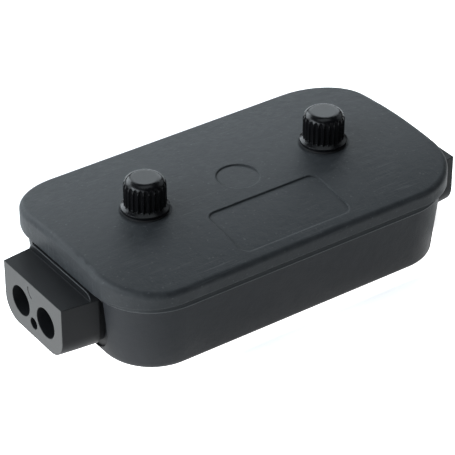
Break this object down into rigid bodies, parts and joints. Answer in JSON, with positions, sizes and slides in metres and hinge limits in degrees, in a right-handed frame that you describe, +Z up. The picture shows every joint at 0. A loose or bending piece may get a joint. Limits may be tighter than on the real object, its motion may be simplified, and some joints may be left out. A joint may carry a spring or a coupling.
{
  "type": "cable junction box",
  "caption": "Low rectangular cable junction box with an arched lid on thumb nuts, a rubber cable entry at each end and screw terminals inside.",
  "frame": {"origin": "under the centre of the tray, on the surface that it stands on", "axes": "+X along the box towards one cable block, +Y across it, +Z up through the lid"},
  "size_m": [0.1432, 0.072, 0.043],
  "materials": {
    "box_plastic": "fine matte, slightly mottled",
    "nut_plastic": "gloss black",
    "block_rubber": "smooth dark rubber",
    "seal_rubber": "soft black rubber",
    "strip_plastic": "pale moulded plastic",
    "brass": "machined",
    "steel": "zinc plated"
  },
  "bodies": {
    "base": {"tray": "box_plastic", "lid_gasket": "seal_rubber", "terminal_strip": "strip_plastic", "stud_left": "steel", "cable_block_left": "block_rubber", "strip_screw_left": "steel", "stud_right": "steel", "cable_block_right": "block_rubber", "strip_screw_right": "steel", "terminal_barrel_1": "brass", "clamp_screw_front_1": "steel", "clamp_screw_back_1": "steel", "terminal_barrel_2": "brass", "clamp_screw_front_2": "steel", "clamp_screw_back_2": "steel", "terminal_barrel_3": "brass", "clamp_screw_front_3": "steel", "clamp_screw_back_3": "steel", "terminal_barrel_4": "brass", "clamp_screw_front_4": "steel", "clamp_screw_back_4": "steel", "terminal_barrel_5": "brass", "clamp_screw_front_5": "steel", "clamp_screw_back_5": "steel", "terminal_barrel_6": "brass", "clamp_screw_front_6": "steel", "clamp_screw_back_6": "steel", "terminal_barrel_7": "brass", "clamp_screw_front_7": "steel", "clamp_screw_back_7": "steel", "terminal_barrel_8": "brass", "clamp_screw_front_8": "steel", "clamp_screw_back_8": "steel"},
    "lid": {"lid": "box_plastic", "knob_washer_left": "seal_rubber", "knob_washer_right": "seal_rubber"},
    "knob_left": {"knob_left": "nut_plastic", "knob_insert_left": "brass"},
    "knob_right": {"knob_right": "nut_plastic", "knob_insert_right": "brass"}
  },
  "joints": [
    {"name": "lid_lift", "type": "slide", "parent": "base", "child": "lid", "axis": [0, 0, 1], "range_m": [0, 0.02]},
    {"name": "knob_left_turn", "type": "hinge", "parent": "lid", "child": "knob_left", "pos_m": [-0.03245, 0, 0.03265], "axis": [0, 0, 1], "continuous": true},
    {"name": "knob_right_turn", "type": "hinge", "parent": "lid", "child": "knob_right", "pos_m": [0.03245, 0, 0.03265], "axis": [0, 0, 1], "continuous": true}
  ]
}
